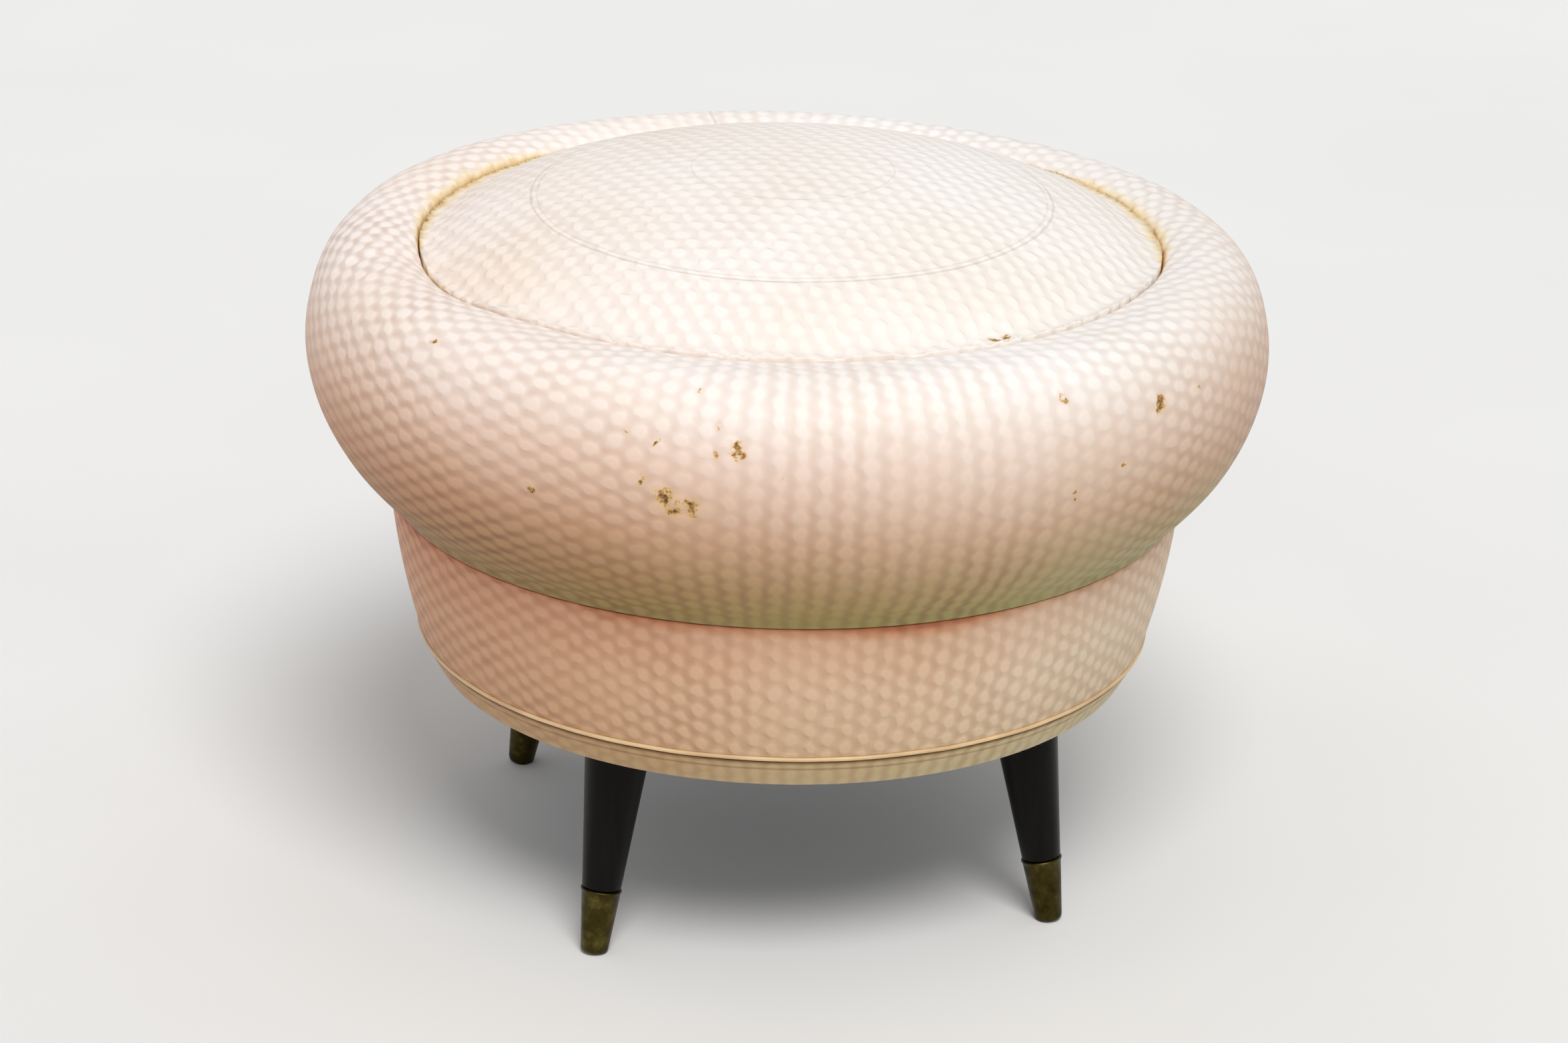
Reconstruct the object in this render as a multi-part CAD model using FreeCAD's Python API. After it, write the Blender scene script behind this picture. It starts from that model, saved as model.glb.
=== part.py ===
import FreeCAD, Part
import math
import os

# A round upholstered footstool: a domed seat inside a soft rolled rim, a tapered drum
# and four splayed, turned legs with brass ferrules. Its origin is on the floor, under
# the middle of the seat. Lengths are in millimetres and angles in degrees.

# Cover and cloth
vinyl_thickness = 1.2
cambric_thickness = 0.4
hessian_thickness = 0.8
base_hem_width = 10.0
welt_diameter = 2.6

# Heights of the covered shape, from the floor up
underside_height = 115.8
seam_setback = 2.0
rim_widest_rise = 83.5
rim_crest_rise = 52.5
crown_rise = 37.8
shoulder_drop = 19.0
crease_hem_depth = 9.4

# Widths of the covered shape, from the seam at the foot of the drum
seam_radius = 195.0
base_slant = 9.5
drum_flare = 14.8
drum_bulge = 2.0
chin_tuck = 2.3
rim_overhang = 44.8
rim_width = 58.3
rim_crest_setback = 19.6
shoulder_width = 58.0
seat_edge_bend = 8.0

# Bends of the covered shape: the crest's radius as a share of its width, and the
# shoulder's steepest slope as a share of the way from the crown's slope to upright
crest_bend_share = 0.905
shoulder_slope_share = 0.474

# Carcase
base_board_thickness = 18.0
drum_clear_height = 78.4
hoop_thickness = 4.0
wadding_edge_thickness = 1.0
deck_thickness = 12.0
deck_setback = 1.2
post_width = 44.0
post_depth = 32.0
post_clearance = 0.3

# Padding
padding_clearance = 0.2
felt_thickness = 6.0
small_felt_radius = 53.0
small_felt_thickness = 4.0
strip_lap = 5.0

# Legs, whose feet stand on a square
leg_setback = 43.0
leg_spread = 21.0
leg_top_diameter = 34.0
leg_top_edge_break = 1.0
leg_ankle_diameter = 20.2

# Ferrules
ferrule_length = 34.5
ferrule_top_diameter = 20.8
ferrule_tip_diameter = 14.2
ferrule_wall = 0.8
ferrule_floor = 1.6
ferrule_edge_break = 1.0
ferrule_bead_height = 1.6
ferrule_bead_depth = 0.35
ferrule_fit = 0.05
foot_wear_depth = 0.5

# Leg plates
plate_width = 50.0
plate_thickness = 2.0
plate_corner_radius = 7.0
plate_boss_diameter = 22.0
plate_boss_height = 4.5
plate_screw_pitch = 36.0

# Studs and screws
stud_diameter = 8.0
stud_grip = 26.0
stud_reach = 9.0
stud_fit = 0.05
stud_room = 1.5
stud_end_room = 2.0
screw_diameter = 4.0
screw_head_diameter = 7.6
screw_head_height = 1.8
screw_length = 14.0
screw_room = 0.25
screw_fit = 0.05
post_screw_length = 40.0
post_screw_head_depth = 2.2

# How round pieces are drawn: straight sides round their axis, and flats along each bend
gore_count = 48
turning_side_count = 24
fastener_side_count = 8
welt_side_count = 6
face_flat_depth = 0.55
lining_flat_depth = 2.0

# Counts, turns and drawing aids
leg_names = ("rear_right", "rear_left", "front_left", "front_right")
full_turn = 360.0
quarter_turn = full_turn / 4
overrun = 5.0
joined_gap = 0.001
up = FreeCAD.Vector(0, 0, 1)
origin = FreeCAD.Vector(0, 0, 0)

# Heights that follow from the stack of pieces
board_bottom = underside_height + vinyl_thickness
board_top = board_bottom + base_board_thickness
seam_height = board_top - seam_setback
welt_top = seam_height + welt_diameter
deck_bottom = board_top + drum_clear_height
deck_top = deck_bottom + deck_thickness
rim_tail_height = deck_bottom - vinyl_thickness
hoop_top = rim_tail_height - vinyl_thickness
rim_widest_height = rim_tail_height + rim_widest_rise
rim_crest_height = rim_widest_height + rim_crest_rise
crown_height = rim_crest_height + crown_rise
shoulder_height = crown_height - shoulder_drop
dust_cover_height = underside_height - cambric_thickness
plate_height = dust_cover_height - plate_thickness
padding_floor = deck_top + padding_clearance

# Radii that follow from one another
base_edge_radius = seam_radius - base_slant
drum_top_radius = seam_radius + drum_flare
chin_radius = drum_top_radius - chin_tuck
rim_widest_radius = chin_radius + rim_overhang
crease_radius = rim_widest_radius - rim_width
rim_crest_radius = crease_radius + rim_crest_setback
seat_radius = crease_radius - hessian_thickness
shoulder_radius = crease_radius - shoulder_width
board_edge_radius = seam_radius - vinyl_thickness
board_foot_radius = base_edge_radius - vinyl_thickness
deck_radius = chin_radius - deck_setback
padding_inset = vinyl_thickness + padding_clearance
mount_circle_radius = seam_radius - leg_setback
foot_circle_radius = mount_circle_radius + leg_spread


def point(radius, height):
    return FreeCAD.Vector(radius, 0, height)


def bend(centre, radius, start, end):
    # A bend of the outline, as its centre, radius and the angles where it starts and ends
    return {"centre": centre, "radius": radius, "start": start, "end": end}


def on_bend(curve, share, inset=0):
    angle = math.radians(curve["start"] + (curve["end"] - curve["start"]) * share)
    reach = FreeCAD.Vector(math.cos(angle), 0, math.sin(angle)) * (curve["radius"] - inset)
    return curve["centre"] + reach


def flats(curves, depth, inset=0):
    # The corners of straight flats that leave each bend by the given depth at most.
    # Outlines of one depth have their corners at the same angles at every inset.
    corners = []
    for curve in curves:
        widest = 2 * math.degrees(math.acos(1 - depth / curve["radius"]))
        count = math.ceil(abs(curve["end"] - curve["start"]) / widest)
        corners += [on_bend(curve, i / count, inset) for i in range(count)]
    return corners + [on_bend(curves[-1], 1, inset)]


def above(corners, height):
    # A rising outline from where it passes a height
    for i, (low, high) in enumerate(zip(corners, corners[1:])):
        if high.z > height:
            return [low + (high - low) * ((height - low.z) / (high.z - low.z))] + corners[i + 1:]


def parted(corners, radius):
    # The outer and inner parts of an outline that runs inwards past a radius
    for i, (far, near) in enumerate(zip(corners, corners[1:])):
        if near.x < radius:
            cut = far + (near - far) * ((far.x - radius) / (far.x - near.x))
            return corners[:i + 1] + [cut], [cut] + corners[i + 1:]


def sunk(corners, depth):
    return [corner - up * depth for corner in corners]


def distinct(points):
    return [p for p, q in zip(points, points[1:] + points[:1]) if p.distanceToPoint(q) > joined_gap]


def around(spot, turn):
    return FreeCAD.Rotation(up, turn).multVec(spot)


def round_solid(corners, side_count):
    # A half section carried round the vertical axis in straight sides
    faces = []
    step = full_turn / side_count
    for near, far in zip(corners, corners[1:] + corners[:1]):
        for i in range(side_count):
            first, last = i * step, (i + 1) * step
            outline = distinct([around(near, first), around(far, first), around(far, last), around(near, last)])
            if len(outline) > 2:
                faces.append(Part.Face(Part.makePolygon(outline + outline[:1])))
    shell = Part.Shell(faces)
    shell.sewShape()
    return Part.Solid(shell)


def gored(corners):
    return round_solid(corners, gore_count)


def turned(corners):
    return round_solid([point(*c) for c in corners], turning_side_count)


def rod(radius, foot, length):
    # A plain round bar or hole along the vertical axis
    corners = [(0, foot), (radius, foot), (radius, foot + length), (0, foot + length)]
    return round_solid([point(*c) for c in corners], fastener_side_count)


def disc(radius, thickness, height):
    corners = [(0, height), (radius, height), (radius, height + thickness), (0, height + thickness)]
    return gored([point(*c) for c in corners])


# The rim's outline: chin, side, crest and the bend down into the crease

chin_bend = (rim_overhang ** 2 + rim_widest_rise ** 2) / (2 * rim_overhang)
chin_angle = math.degrees(math.atan2(rim_widest_rise, chin_bend - rim_overhang))
crest_width = rim_width - rim_crest_setback
crest_bend = crest_width * crest_bend_share
side_run = crest_width - crest_bend
side_rise = rim_crest_rise - crest_bend
side_angle = 2 * math.degrees(math.atan2(side_run, side_rise))
side_bend = crest_bend + side_rise / math.sin(math.radians(side_angle))
rim_bends = [
    bend(point(rim_widest_radius - chin_bend, rim_widest_height), chin_bend, -chin_angle, 0),
    bend(point(rim_widest_radius - side_bend, rim_widest_height), side_bend, 0, side_angle),
    bend(point(rim_crest_radius, rim_crest_height - crest_bend), crest_bend, side_angle, quarter_turn),
    bend(point(rim_crest_radius, rim_crest_height - rim_crest_setback), rim_crest_setback, quarter_turn,
         2 * quarter_turn),
]


# The seat's outline: a tight edge in the crease, a shoulder and a wide crown

crown_bend = (shoulder_radius ** 2 + shoulder_drop ** 2) / (2 * shoulder_drop)
crown_slope = math.asin(shoulder_radius / crown_bend)
edge_slope = crown_slope + (math.pi / 2 - crown_slope) * shoulder_slope_share
shoulder_run = seat_radius - shoulder_radius - seat_edge_bend * (1 - math.sin(edge_slope))
shoulder_bend = shoulder_run / (math.sin(edge_slope) - math.sin(crown_slope))
shoulder_centre = point(shoulder_radius - shoulder_bend * math.sin(crown_slope),
                        shoulder_height - shoulder_bend * math.cos(crown_slope))
edge_centre = point(seat_radius - seat_edge_bend,
                    shoulder_centre.z + (shoulder_bend - seat_edge_bend) * math.cos(edge_slope))
edge_end = quarter_turn - math.degrees(edge_slope)
shoulder_end = quarter_turn - math.degrees(crown_slope)
seat_bends = [
    bend(edge_centre, seat_edge_bend, 0, edge_end),
    bend(shoulder_centre, shoulder_bend, edge_end, shoulder_end),
    bend(point(0, crown_height - crown_bend), crown_bend, shoulder_end, quarter_turn),
]
crease_hem_height = min(edge_centre.z, rim_crest_height - rim_crest_setback) - crease_hem_depth


# The drum's outline: a wall that widens upwards and bulges a little

drum_rise = hoop_top - welt_top
drum_lean = math.atan2(drum_flare, drum_rise)
drum_chord = math.hypot(drum_rise, drum_flare)
drum_bend = (drum_chord ** 2 / 4 + drum_bulge ** 2) / (2 * drum_bulge)
drum_sweep = math.degrees(math.asin(drum_chord / 2 / drum_bend))
drum_middle = point((seam_radius + drum_top_radius) / 2, (welt_top + hoop_top) / 2)
drum_centre = drum_middle + FreeCAD.Vector(-math.cos(drum_lean), 0, math.sin(drum_lean)) * (drum_bend - drum_bulge)
drum_start = -math.degrees(drum_lean) - drum_sweep
drum_side = [bend(drum_centre, drum_bend, drum_start, drum_start + 2 * drum_sweep)]


def hoop_face(height):
    # The radius of the hoop's outer face, which lies along the chord of the drum's side
    setback = (vinyl_thickness + wadding_edge_thickness) / math.cos(drum_lean)
    return seam_radius - setback + (height - welt_top) * math.tan(drum_lean)


hoop_foot_radius = hoop_face(board_top)
hoop_head_radius = hoop_face(hoop_top)
rim_tail_radius = hoop_foot_radius - hoop_thickness


# Rolled rim

def rim_cover():
    face = flats(rim_bends, face_flat_depth)
    lining = above(flats(rim_bends, lining_flat_depth, vinyl_thickness), deck_bottom)
    hem = [point(crease_radius, crease_hem_height), point(crease_radius + vinyl_thickness, crease_hem_height)]
    tail = [point(rim_tail_radius, deck_bottom), point(rim_tail_radius, rim_tail_height)]
    return gored(face + hem + lining[::-1] + tail)


def rim_foam():
    heel = (deck_bottom + deck_top) / 2
    face = above(flats(rim_bends, lining_flat_depth, padding_inset), heel)
    seat = deck_radius + padding_clearance
    wall = crease_radius + padding_inset
    return gored(face + [point(wall, padding_floor), point(seat, padding_floor), point(seat, heel)])


# Domed seat

def seat_cover():
    face = flats(seat_bends, face_flat_depth)
    lining = flats(seat_bends, lining_flat_depth, vinyl_thickness)
    hem = [point(seat_radius - vinyl_thickness, crease_hem_height), point(seat_radius, crease_hem_height)]
    return gored(hem + face + lining[::-1])


def crown_line(inset):
    return flats(seat_bends[-1:], lining_flat_depth, inset)


def crown_felt_large():
    upper = crown_line(padding_inset)
    lower = crown_line(padding_inset + felt_thickness)
    return gored(upper + lower[::-1])


def felt_bed():
    # The bed under the large felt, parted where the small felt's edge comes
    return parted(crown_line(padding_inset + felt_thickness + padding_clearance), small_felt_radius)


def crown_felt_small():
    _, inner = felt_bed()
    return gored(inner + sunk(inner, small_felt_thickness)[::-1])


def seat_foam():
    side = flats(seat_bends[:-1], lining_flat_depth, padding_inset)
    outer, inner = felt_bed()
    top = sunk(outer, padding_clearance)
    well = sunk(inner, small_felt_thickness + padding_clearance)
    floor = [point(0, padding_floor), point(seat_radius - padding_inset, padding_floor)]
    return gored(floor + side + top + well)


def crease_strip():
    top = crease_hem_height + strip_lap
    corners = [(seat_radius, deck_top), (crease_radius, deck_top), (crease_radius, top), (seat_radius, top)]
    return gored([point(*c) for c in corners])


# Drum

def drum_cover():
    face = flats(drum_side, face_flat_depth)
    lining = flats(drum_side, face_flat_depth, vinyl_thickness)
    lip = point(lining[-1].x, rim_tail_height)
    tail = hoop_head_radius - hoop_thickness
    return gored(face + [lip, point(tail, rim_tail_height), point(tail, hoop_top)] + lining[::-1])


def drum_wadding():
    face = flats(drum_side, face_flat_depth, padding_inset)
    foot = point(hoop_face(face[0].z) + padding_clearance, face[0].z)
    head = point(hoop_face(face[-1].z) + padding_clearance, face[-1].z)
    return gored([foot] + face + [head])


def drum_hoop():
    corners = [(hoop_foot_radius - hoop_thickness, board_top), (hoop_foot_radius, board_top)]
    corners += [(hoop_head_radius, hoop_top), (hoop_head_radius - hoop_thickness, hoop_top)]
    return gored([point(*c) for c in corners])


def deck_board():
    board = disc(deck_radius, deck_thickness, deck_bottom)
    return board.cut(all_legs(upper_post_hole))


# The posts, whose outer corners stand just inside the foot of the hoop

post_reach = (hoop_foot_radius - hoop_thickness) * math.cos(math.pi / gore_count) - post_clearance
post_middle = math.sqrt(post_reach ** 2 - (post_width / 2) ** 2) - post_depth / 2


def drum_post():
    corner = FreeCAD.Vector(post_middle - post_depth / 2, -post_width / 2, board_top)
    post = Part.makeBox(post_depth, post_width, drum_clear_height, corner)
    return post.cut([lower_post_hole(), upper_post_hole()])


def post_screw(room):
    # A countersunk wood screw, upright, with its head's face at the origin
    shank, head = screw_diameter / 2 + room, screw_head_diameter / 2 + room
    corners = [(0, 0), (head, 0), (shank, post_screw_head_depth), (shank, post_screw_length)]
    return round_solid([point(*c) for c in corners + [(0, post_screw_length)]], fastener_side_count)


def lower_post_screw(room=0):
    return post_screw(room).translated(point(post_middle, board_bottom))


def upper_post_screw(room=0):
    screw = post_screw(room).rotated(origin, FreeCAD.Vector(1, 0, 0), full_turn / 2)
    return screw.translated(point(post_middle, deck_top))


def post_screws():
    return Part.Compound([lower_post_screw(), upper_post_screw()])


def lower_post_hole():
    return lower_post_screw(screw_fit)


def upper_post_hole():
    return upper_post_screw(screw_fit)


# Base

def base_board():
    corners = [(0, board_bottom), (board_foot_radius, board_bottom), (board_edge_radius, seam_height)]
    corners += [(board_edge_radius, board_top), (0, board_top)]
    board = gored([point(*c) for c in corners])
    return board.cut(all_legs(stud_hole) + all_legs(screw_pilots) + all_legs(lower_post_hole))


def base_band():
    hem = base_edge_radius - base_hem_width
    corners = [(hem, underside_height), (base_edge_radius, underside_height), (seam_radius, seam_height)]
    corners += [(board_edge_radius, seam_height), (board_foot_radius, board_bottom), (hem, board_bottom)]
    return gored([point(*c) for c in corners])


def seam_welt():
    radius = welt_diameter / 2
    centre = point(board_edge_radius + radius, seam_height + radius)
    circle = bend(centre, radius, 0, full_turn)
    return gored([on_bend(circle, i / welt_side_count) for i in range(welt_side_count)])


def dust_cover():
    sheet = disc(base_edge_radius - base_hem_width / 2, cambric_thickness, dust_cover_height)
    return sheet.cut(all_legs(stud_hole) + all_legs(screw_pilots))


# Legs. Each piece is drawn upright with its origin where the leg's axis meets the plate

leg_splay = math.atan2(foot_circle_radius - mount_circle_radius, underside_height)
foot_centre_height = (ferrule_tip_diameter / 2 - ferrule_edge_break) * math.sin(leg_splay) - foot_wear_depth
foot_reach = (plate_height - foot_centre_height) / math.cos(leg_splay)
ankle_reach = foot_reach - ferrule_length
plate_centre = point(foot_circle_radius - plate_height * math.tan(leg_splay), plate_height)


def splayed(shape):
    leaned = shape.copy()
    leaned.rotate(origin, FreeCAD.Vector(0, 1, 0), -math.degrees(leg_splay))
    leaned.translate(plate_centre)
    return leaned


def on_leg(shape, number):
    placed = shape.copy()
    placed.rotate(origin, up, full_turn / len(leg_names) * (number + 1 / 2))
    return placed


def all_legs(make):
    return [on_leg(make(), i) for i in range(len(leg_names))]


def ferrule_outside(reach):
    # The ferrule's radius at a distance down the leg
    share = (reach - ankle_reach) / ferrule_length
    return (ferrule_top_diameter + (ferrule_tip_diameter - ferrule_top_diameter) * share) / 2


def ferrule_inside(reach):
    return ferrule_outside(reach) - ferrule_wall


def leg():
    top, tip = leg_top_diameter / 2, foot_reach - ferrule_floor
    corners = [
        (0, -plate_boss_height),
        (top - leg_top_edge_break, -plate_boss_height),
        (top, -plate_boss_height - leg_top_edge_break),
        (leg_ankle_diameter / 2, -ankle_reach),
        (ferrule_inside(ankle_reach) - ferrule_fit, -ankle_reach),
        (ferrule_inside(tip) - ferrule_fit, -tip),
        (0, -tip),
    ]
    bore_depth = stud_grip + stud_end_room
    bore = rod(stud_diameter / 2 + stud_fit, -plate_boss_height - bore_depth, bore_depth)
    return splayed(turned(corners).cut(bore))


def ferrule():
    inner_floor = foot_reach - ferrule_floor
    bead_radius = ferrule_top_diameter / 2 + ferrule_bead_depth
    bead_reach = ankle_reach + ferrule_bead_height
    corners = [
        (0, -foot_reach),
        (ferrule_tip_diameter / 2 - ferrule_edge_break, -foot_reach),
        (ferrule_tip_diameter / 2, -foot_reach + ferrule_edge_break),
        (ferrule_outside(bead_reach), -bead_reach),
        (bead_radius, -bead_reach + ferrule_bead_depth),
        (bead_radius, -ankle_reach),
        (ferrule_inside(ankle_reach), -ankle_reach),
        (ferrule_inside(inner_floor), -inner_floor),
        (0, -inner_floor),
    ]
    cup = splayed(turned(corners))
    # The floor has worn a small flat on the inner edge of the tip
    box = cup.BoundBox
    corner = FreeCAD.Vector(box.XMin - overrun, box.YMin - overrun, -overrun)
    return cup.cut(Part.makeBox(box.XLength + 2 * overrun, box.YLength + 2 * overrun, overrun, corner))


def stud():
    length = plate_boss_height + stud_grip + stud_reach
    return splayed(rod(stud_diameter / 2, -plate_boss_height - stud_grip, length))


def stud_hole():
    return splayed(rod(stud_diameter / 2 + stud_room, 0, stud_reach + stud_end_room))


def screw_spots():
    half = plate_screw_pitch / 2
    return [FreeCAD.Vector(x, y, 0) + plate_centre for x in (-half, half) for y in (-half, half)]


def screw_holes(room):
    hole = rod(screw_diameter / 2 + room, 0, screw_length)
    return Part.Compound([hole.translated(spot) for spot in screw_spots()])


def screw_pilots():
    return screw_holes(screw_fit)


def leg_plate():
    half = plate_width / 2
    corner = plate_centre - FreeCAD.Vector(half, half, 0)
    sheet = Part.makeBox(plate_width, plate_width, plate_thickness, corner)
    upright = [e for e in sheet.Edges if e.BoundBox.ZLength > plate_thickness / 2]
    sheet = sheet.makeFillet(plate_corner_radius, upright)
    boss_length = plate_boss_height + plate_thickness
    foot, radius = -plate_boss_height, plate_boss_diameter / 2
    boss = splayed(turned([(0, foot), (radius, foot), (radius, plate_thickness), (0, plate_thickness)]))
    above = Part.makeBox(plate_width, plate_width, boss_length, corner + up * plate_thickness)
    bore = splayed(rod(stud_diameter / 2 + stud_fit, foot - overrun, boss_length + 2 * overrun))
    return sheet.fuse(boss.cut(above)).cut([bore, screw_holes(screw_room)])


def plate_screws():
    # Round-headed wood screws, driven up through the plate
    shank, head = screw_diameter / 2, screw_head_diameter / 2
    corners = [(0, -screw_head_height), (shank, -screw_head_height), (head, 0), (shank, 0), (shank, screw_length)]
    screw = round_solid([point(*c) for c in corners + [(0, screw_length)]], fastener_side_count)
    return Part.Compound([screw.translated(spot) for spot in screw_spots()])


# One file for each piece

os.makedirs("parts", exist_ok=True)
pieces = {
    "seat_cover": seat_cover(),
    "crown_felt_large": crown_felt_large(),
    "crown_felt_small": crown_felt_small(),
    "seat_foam": seat_foam(),
    "rim_cover": rim_cover(),
    "rim_foam": rim_foam(),
    "crease_strip": crease_strip(),
    "deck_board": deck_board(),
    "drum_cover": drum_cover(),
    "drum_wadding": drum_wadding(),
    "drum_hoop": drum_hoop(),
    "base_board": base_board(),
    "seam_welt": seam_welt(),
    "base_band": base_band(),
    "dust_cover": dust_cover(),
}
for number, name in enumerate(leg_names):
    pieces["drum_post_" + name] = on_leg(drum_post(), number)
    pieces["leg_plate_" + name] = on_leg(leg_plate(), number)
    pieces["leg_stud_" + name] = on_leg(stud(), number)
    pieces["leg_" + name] = on_leg(leg(), number)
    pieces["ferrule_" + name] = on_leg(ferrule(), number)
pieces["leg_plate_screws"] = Part.Compound(all_legs(plate_screws))
pieces["post_screws"] = Part.Compound(all_legs(post_screws))

for name, piece in pieces.items():
    piece.exportStep("parts/" + name + ".step")
    print(name, "solids", len(piece.Solids), "valid", piece.isValid(), "volume", round(piece.Volume))
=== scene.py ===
import math
import random

import bmesh
import bpy
from mathutils import Matrix, Quaternion, Vector, noise


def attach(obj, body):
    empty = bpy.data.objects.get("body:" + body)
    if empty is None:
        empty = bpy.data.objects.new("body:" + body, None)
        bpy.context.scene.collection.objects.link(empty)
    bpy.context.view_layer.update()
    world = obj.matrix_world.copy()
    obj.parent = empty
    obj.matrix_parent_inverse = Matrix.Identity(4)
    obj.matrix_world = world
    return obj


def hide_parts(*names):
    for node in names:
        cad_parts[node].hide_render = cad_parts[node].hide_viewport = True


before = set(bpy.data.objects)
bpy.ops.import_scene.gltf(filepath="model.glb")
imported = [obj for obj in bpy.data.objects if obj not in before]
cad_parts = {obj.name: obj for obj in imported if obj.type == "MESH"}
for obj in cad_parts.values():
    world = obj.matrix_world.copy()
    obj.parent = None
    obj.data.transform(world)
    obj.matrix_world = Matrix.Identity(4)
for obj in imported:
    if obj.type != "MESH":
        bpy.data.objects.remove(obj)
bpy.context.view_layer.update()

# The carcase: a thick base board, four posts and a deck board. The boards are bare
# blockboard and the posts are planed softwood, glued and held by long steel screws.
MM = 0.001
# Posts, plates and legs stand at four corners: each has its heading in degrees
corners = {"rear_right": 45, "rear_left": 135, "front_left": 225, "front_right": 315}


def colour(code):
    # A colour written as sRGB hex, turned to the linear values that the shader takes
    parts = [int(code[i:i + 2], 16) / 255 for i in (1, 3, 5)]
    return [p / 12.92 if p <= 0.04045 else ((p + 0.055) / 1.055) ** 2.4 for p in parts] + [1.0]


def per(size):
    # The scale of a pattern whose repeats are this many millimetres wide
    return 1 / (size * MM)


def feed(material, node, sockets):
    # Gives sockets their plain values, or a link from a socket or a node's first output
    for key, value in sockets.items():
        if isinstance(value, bpy.types.Node):
            value = value.outputs[0]
        if isinstance(value, bpy.types.NodeSocket):
            material.node_tree.links.new(value, node.inputs[key])
        else:
            node.inputs[key].default_value = value


def add(material, kind, sockets=None, stops=(), **settings):
    # One node of a material, with its settings, its sockets and the stops of its ramp
    made = material.node_tree.nodes.new("ShaderNode" + kind)
    for key, value in settings.items():
        setattr(made, key, value)
    feed(material, made, sockets or {})
    for i, (place, code) in enumerate(stops):
        marks = made.color_ramp.elements
        mark = marks[i] if i < 2 else marks.new(place)
        mark.position, mark.color = place, colour(code)
    return made


def finish(name):
    # A new material with its shader's node and its object coordinates
    material = bpy.data.materials.new(name)
    material.use_nodes = True
    shader = material.node_tree.nodes["Principled BSDF"]
    place = add(material, "TexCoord").outputs["Object"]
    return material, shader, place


def dress(node, material):
    # Puts a material on a node of the frame, in every slot it has
    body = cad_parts[node]
    body = body if isinstance(body, bpy.types.Object) else bpy.data.objects[node]
    if not body.data.materials:
        body.data.materials.append(material)
    for slot in body.material_slots:
        slot.material = material


# Blockboard: rotary-cut face with long flat figure, sanded and left bare
board, shader, place = finish("bare blockboard")
stretch = add(board, "Mapping", {"Vector": place, "Scale": (per(111.1), per(8.333), per(8.333))})
grain = add(board, "TexNoise", {"Vector": stretch, "Scale": 1.0, "Detail": 6.0, "Roughness": 0.6})
figure = add(board, "ValToRGB", {"Fac": grain}, stops=[(0.3, "#A67F50"), (0.7, "#D2B083")])
raised = add(board, "Bump", {"Height": grain, "Distance": 0.2 * MM, "Strength": 0.5})
feed(board, shader, {"Base Color": figure, "Normal": raised, "Roughness": 0.7})
for node in ("base_board", "deck_board", "drum_hoop"):
    dress(node, board)

# Softwood: planed pine, with growth rings running up the posts
pine, shader, place = finish("planed softwood")
stretch = add(pine, "Mapping", {"Vector": place, "Scale": (per(11.11), per(11.11), per(250))})
rings = add(pine, "TexWave", {"Vector": stretch, "Scale": 0.8, "Distortion": 6.0, "Detail": 3.0})
figure = add(pine, "ValToRGB", {"Fac": rings.outputs["Fac"]},
             stops=[(0.2, "#DDBD85"), (0.9, "#B98A4E")])
feed(pine, shader, {"Base Color": figure, "Roughness": 0.65})
for corner in corners:
    dress("drum_post_" + corner, pine)

# Screw steel: plain drawn wire, slightly dull, with fine turning marks
steel, shader, place = finish("dull screw steel")
marks = add(steel, "TexNoise", {"Vector": place, "Scale": per(1.111), "Detail": 3.0})
dulled = add(steel, "MapRange", {"Value": marks, "To Min": 0.32, "To Max": 0.55})
spots = add(steel, "ValToRGB", {"Fac": marks}, stops=[(0.25, "#6E675C"), (0.6, "#9A968E")])
feed(steel, shader, {"Base Color": spots, "Roughness": dulled, "Metallic": 1.0})
for node in ["post_screws", "leg_plate_screws"] + ["leg_stud_" + corner for corner in corners]:
    dress(node, steel)


# The drum's wall: thin cotton wadding glued round the bent hoop, and over it a strip of
# embossed vinyl leathercloth, drawn tight, folded over the hoop's top and sewn at the back.
def bend(centre, radius, first, last, steps):
    # Points on one bend of an outline, by angles in degrees from straight outwards
    turns = [math.radians(first + (last - first) * i / steps) for i in range(steps + 1)]
    return [(centre[0] + radius * math.cos(t), centre[1] + radius * math.sin(t)) for t in turns]


def spin_round(shape, points, edges, around):
    # Spins an outline a full turn round the upright axis, closed, its faces outwards
    bmesh.ops.spin(shape, geom=points + edges, cent=(0, 0, 0), axis=(0, 0, 1), dvec=(0, 0, 0),
                   angle=2 * math.pi, steps=around, use_merge=True)
    bmesh.ops.remove_doubles(shape, verts=shape.verts, dist=0.01 * MM)
    bmesh.ops.recalc_face_normals(shape, faces=shape.faces)


def turned(name, outline, around, closed=True):
    # Turns an outline of (radius, height) points in millimetres round the footstool's axis.
    # Each point keeps how far along the outline it is, for the patterns
    shape = bmesh.new()
    along = shape.verts.layers.float.new("along")
    points, run = [], 0.0
    for i, (r, z) in enumerate(outline):
        run += math.dist(outline[i], outline[i - 1]) if i else 0.0
        points.append(shape.verts.new((r * MM, 0.0, z * MM)))
        points[-1][along] = run * MM
    pairs = list(zip(points, points[1:])) + ([(points[-1], points[0])] if closed else [])
    spin_round(shape, points, [shape.edges.new(pair) for pair in pairs], around)
    return settle(name, shape)


def settle(name, shape):
    # Makes an object of a finished shape, smooth, at the origin, on the footstool's one body
    for face in shape.faces:
        face.smooth = True
    mesh = bpy.data.meshes.new(name)
    shape.to_mesh(mesh)
    shape.free()
    piece = bpy.data.objects.new(name, mesh)
    bpy.context.scene.collection.objects.link(piece)
    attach(piece, "root")
    return piece


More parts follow.
